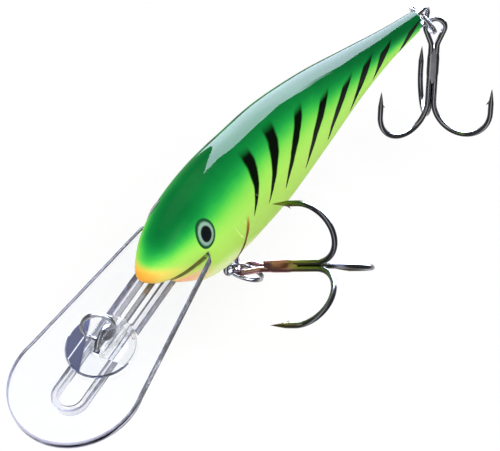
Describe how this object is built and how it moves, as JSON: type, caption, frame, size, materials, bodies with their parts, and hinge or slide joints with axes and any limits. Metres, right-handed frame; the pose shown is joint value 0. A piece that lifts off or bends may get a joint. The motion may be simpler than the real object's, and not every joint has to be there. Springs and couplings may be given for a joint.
{
  "type": "deep-diving crankbait lure",
  "caption": "Slim tiger-striped minnow-shaped wooden fishing lure with a long clear diving lip, wire line tie and two treble hooks hung on split rings.",
  "frame": {"origin": "centre of the line-tie eye, in the upper face of the lip", "axes": "+X towards the nose and the lip's tip, +Y to the fish's left, +Z to its back"},
  "size_m": [0.1046, 0.0288, 0.0313],
  "materials": {
    "painted_wood": "gloss paint, green and yellow with black bars",
    "bright_wire": "bright stainless wire",
    "lead": "dull cast lead",
    "clear_plastic": "clear moulded plastic",
    "eye": "gloss, yellow with a black pupil",
    "black_nickel": "black nickel plate"
  },
  "bodies": {
    "lure": {"balsa_body": "painted_wood", "slot_filler_front": "painted_wood", "slot_filler_rear": "painted_wood", "through_wire": "bright_wire", "belly_hanger": "bright_wire", "ballast_weight": "lead", "diving_lip": "clear_plastic", "lip_button": "clear_plastic", "eye_left": "eye", "eye_right": "eye"},
    "line_tie_ring": {"line_tie_ring": "bright_wire"},
    "belly_ring": {"belly_ring": "bright_wire"},
    "belly_treble": {"belly_hook_double": "black_nickel", "belly_hook_single": "black_nickel", "belly_hook_braze": "black_nickel"},
    "tail_ring": {"tail_ring": "bright_wire"},
    "tail_treble": {"tail_hook_double": "black_nickel", "tail_hook_single": "black_nickel", "tail_hook_braze": "black_nickel"}
  },
  "joints": [
    {"name": "line_tie_ring_swing", "type": "hinge", "parent": "lure", "child": "line_tie_ring", "pos_m": [0, 0, 0], "axis": [0, 1, 0], "range_deg": [-30, 10]},
    {"name": "belly_ring_swing", "type": "hinge", "parent": "lure", "child": "belly_ring", "pos_m": [-0.02954, 0, -0.00783], "axis": [0, 1, 0], "range_deg": [-45, 45]},
    {"name": "belly_treble_swing", "type": "hinge", "parent": "belly_ring", "child": "belly_treble", "pos_m": [-0.03083, 0.00143, -0.0095], "axis": [0.8538, 0.2132, -0.475], "range_deg": [-150, 0]},
    {"name": "tail_ring_swing", "type": "hinge", "parent": "lure", "child": "tail_ring", "pos_m": [-0.08034, 0, 0.0047], "axis": [0, 1, 0], "range_deg": [-30, 75]},
    {"name": "tail_treble_swing", "type": "hinge", "parent": "tail_ring", "child": "tail_treble", "pos_m": [-0.08185, -0.0008, 0.00281], "axis": [-0.8018, 0.3315, 0.4973], "range_deg": [0, 75]}
  ]
}
